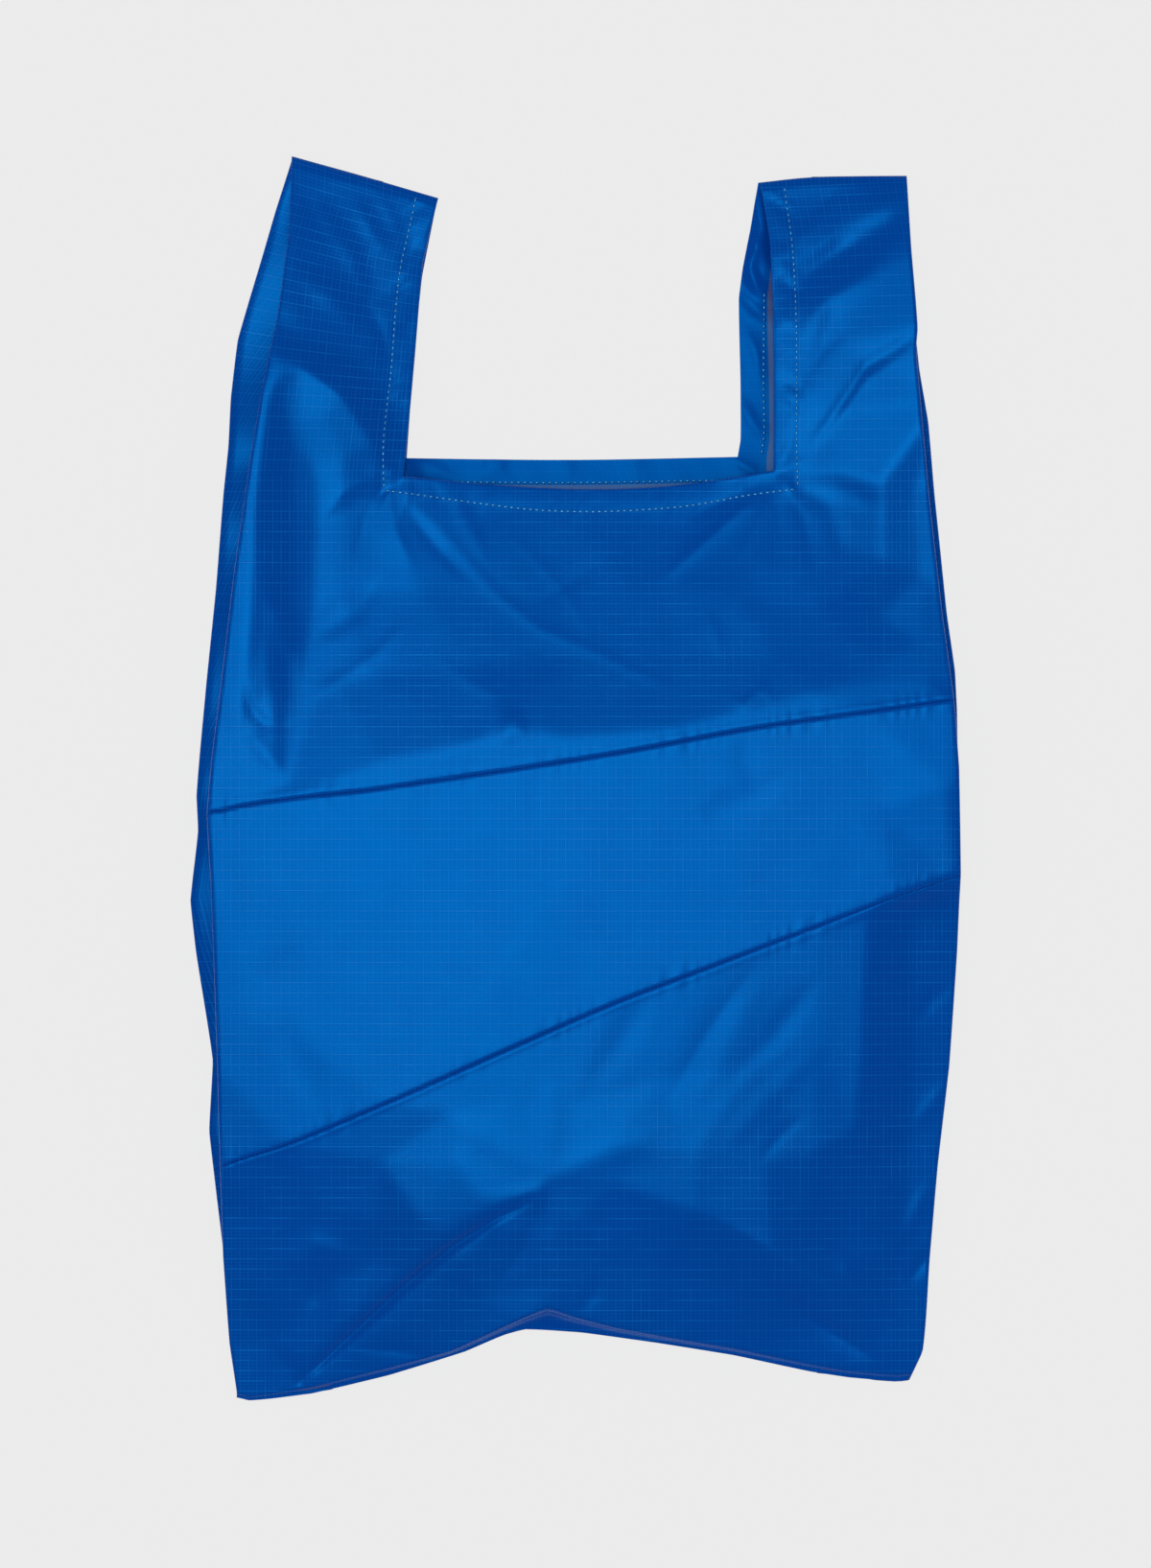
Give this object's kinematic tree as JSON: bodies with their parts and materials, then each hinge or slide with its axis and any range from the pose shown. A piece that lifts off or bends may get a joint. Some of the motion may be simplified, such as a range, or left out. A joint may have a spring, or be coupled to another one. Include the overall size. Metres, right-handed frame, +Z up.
{
  "type": "nylon shopping bag",
  "caption": "Foldable shopping bag of thin ripstop nylon in vest shape, sewn from slanting cloth bands, with folded side gussets and wide straps as handles, lying on its back.",
  "frame": {"origin": "under the middle of the bag's outline, on the floor that its back lies on", "axes": "+Y along the bag, from the base to the handles; +X to the right of the front; +Z up, out of the front"},
  "size_m": [0.3794, 0.616, 0.027],
  "materials": {
    "lower_band": "thin blue ripstop nylon with a soft sheen",
    "middle_band": "thin blue ripstop nylon with a soft sheen",
    "upper_band": "thin blue ripstop nylon with a soft sheen"
  },
  "bodies": {
    "root": {"lower_band": "lower_band", "middle_band": "middle_band", "upper_band": "upper_band"}
  },
  "joints": []
}
